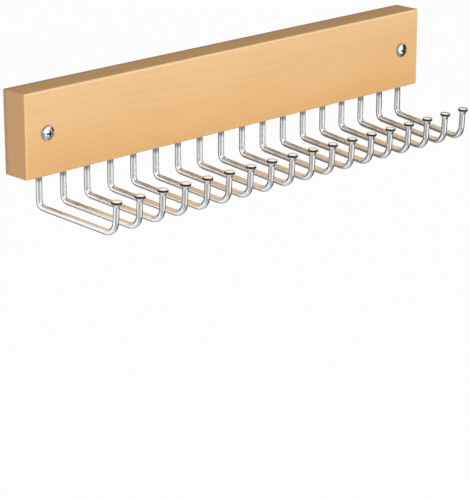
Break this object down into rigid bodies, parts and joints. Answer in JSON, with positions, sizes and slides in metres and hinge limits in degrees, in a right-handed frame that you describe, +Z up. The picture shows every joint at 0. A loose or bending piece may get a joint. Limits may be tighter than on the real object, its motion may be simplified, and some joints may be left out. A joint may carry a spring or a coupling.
{
  "type": "tie hanger",
  "caption": "Wall-mounted tie hanger: a plain wooden bar with a row of bent chromed wire hooks that swivel in its underside, fixed to the wall by round-headed screws.",
  "frame": {"origin": "middle of the bar's flat back face, which lies on the wall", "axes": "+X along the bar, +Y from the back face into the wall, +Z up; the hooks reach out along -Y"},
  "size_m": [0.33, 0.0969, 0.0747],
  "materials": {
    "bar_wood": "clear satin lacquer on beech",
    "hook_chrome": "bright chromed steel wire",
    "screw_chrome": "bright plated steel"
  },
  "bodies": {
    "rack_bar": {"bar": "bar_wood"},
    "turning_hook_01": {"hook_01": "hook_chrome"},
    "turning_hook_02": {"hook_02": "hook_chrome"},
    "turning_hook_03": {"hook_03": "hook_chrome"},
    "turning_hook_04": {"hook_04": "hook_chrome"},
    "turning_hook_05": {"hook_05": "hook_chrome"},
    "turning_hook_06": {"hook_06": "hook_chrome"},
    "turning_hook_07": {"hook_07": "hook_chrome"},
    "turning_hook_08": {"hook_08": "hook_chrome"},
    "turning_hook_09": {"hook_09": "hook_chrome"},
    "turning_hook_10": {"hook_10": "hook_chrome"},
    "turning_hook_11": {"hook_11": "hook_chrome"},
    "turning_hook_12": {"hook_12": "hook_chrome"},
    "turning_hook_13": {"hook_13": "hook_chrome"},
    "turning_hook_14": {"hook_14": "hook_chrome"},
    "turning_hook_15": {"hook_15": "hook_chrome"},
    "turning_hook_16": {"hook_16": "hook_chrome"},
    "turning_hook_17": {"hook_17": "hook_chrome"},
    "turning_hook_18": {"hook_18": "hook_chrome"},
    "turning_left_mounting_screw": {"left_mounting_screw": "screw_chrome"},
    "turning_right_mounting_screw": {"right_mounting_screw": "screw_chrome"}
  },
  "joints": [
    {"name": "hook_01_swivel", "type": "hinge", "parent": "rack_bar", "child": "turning_hook_01", "pos_m": [-0.15215, -0.014, -0.025], "axis": [0, 0, 1], "range_deg": [-9, 9]},
    {"name": "hook_02_swivel", "type": "hinge", "parent": "rack_bar", "child": "turning_hook_02", "pos_m": [-0.13425, -0.014, -0.025], "axis": [0, 0, 1], "range_deg": [-9, 9]},
    {"name": "hook_03_swivel", "type": "hinge", "parent": "rack_bar", "child": "turning_hook_03", "pos_m": [-0.11635, -0.014, -0.025], "axis": [0, 0, 1], "range_deg": [-9, 9]},
    {"name": "hook_04_swivel", "type": "hinge", "parent": "rack_bar", "child": "turning_hook_04", "pos_m": [-0.09845, -0.014, -0.025], "axis": [0, 0, 1], "range_deg": [-9, 9]},
    {"name": "hook_05_swivel", "type": "hinge", "parent": "rack_bar", "child": "turning_hook_05", "pos_m": [-0.08055, -0.014, -0.025], "axis": [0, 0, 1], "range_deg": [-9, 9]},
    {"name": "hook_06_swivel", "type": "hinge", "parent": "rack_bar", "child": "turning_hook_06", "pos_m": [-0.06265, -0.014, -0.025], "axis": [0, 0, 1], "range_deg": [-9, 9]},
    {"name": "hook_07_swivel", "type": "hinge", "parent": "rack_bar", "child": "turning_hook_07", "pos_m": [-0.04475, -0.014, -0.025], "axis": [0, 0, 1], "range_deg": [-9, 9]},
    {"name": "hook_08_swivel", "type": "hinge", "parent": "rack_bar", "child": "turning_hook_08", "pos_m": [-0.02685, -0.014, -0.025], "axis": [0, 0, 1], "range_deg": [-9, 9]},
    {"name": "hook_09_swivel", "type": "hinge", "parent": "rack_bar", "child": "turning_hook_09", "pos_m": [-0.00895, -0.014, -0.025], "axis": [0, 0, 1], "range_deg": [-9, 9]},
    {"name": "hook_10_swivel", "type": "hinge", "parent": "rack_bar", "child": "turning_hook_10", "pos_m": [0.00895, -0.014, -0.025], "axis": [0, 0, 1], "range_deg": [-9, 9]},
    {"name": "hook_11_swivel", "type": "hinge", "parent": "rack_bar", "child": "turning_hook_11", "pos_m": [0.02685, -0.014, -0.025], "axis": [0, 0, 1], "range_deg": [-9, 9]},
    {"name": "hook_12_swivel", "type": "hinge", "parent": "rack_bar", "child": "turning_hook_12", "pos_m": [0.04475, -0.014, -0.025], "axis": [0, 0, 1], "range_deg": [-9, 9]},
    {"name": "hook_13_swivel", "type": "hinge", "parent": "rack_bar", "child": "turning_hook_13", "pos_m": [0.06265, -0.014, -0.025], "axis": [0, 0, 1], "range_deg": [-9, 9]},
    {"name": "hook_14_swivel", "type": "hinge", "parent": "rack_bar", "child": "turning_hook_14", "pos_m": [0.08055, -0.014, -0.025], "axis": [0, 0, 1], "range_deg": [-9, 9]},
    {"name": "hook_15_swivel", "type": "hinge", "parent": "rack_bar", "child": "turning_hook_15", "pos_m": [0.09845, -0.014, -0.025], "axis": [0, 0, 1], "range_deg": [-9, 9]},
    {"name": "hook_16_swivel", "type": "hinge", "parent": "rack_bar", "child": "turning_hook_16", "pos_m": [0.11635, -0.014, -0.025], "axis": [0, 0, 1], "range_deg": [-9, 9]},
    {"name": "hook_17_swivel", "type": "hinge", "parent": "rack_bar", "child": "turning_hook_17", "pos_m": [0.13425, -0.014, -0.025], "axis": [0, 0, 1], "range_deg": [-9, 9]},
    {"name": "hook_18_swivel", "type": "hinge", "parent": "rack_bar", "child": "turning_hook_18", "pos_m": [0.15215, -0.014, -0.025], "axis": [0, 0, 1], "range_deg": [-9, 9]},
    {"name": "left_mounting_screw_turn", "type": "hinge", "parent": "rack_bar", "child": "turning_left_mounting_screw", "pos_m": [-0.149, -0.019, 0], "axis": [0, 1, 0], "continuous": true},
    {"name": "right_mounting_screw_turn", "type": "hinge", "parent": "rack_bar", "child": "turning_right_mounting_screw", "pos_m": [0.149, -0.019, 0], "axis": [0, 1, 0], "continuous": true}
  ]
}
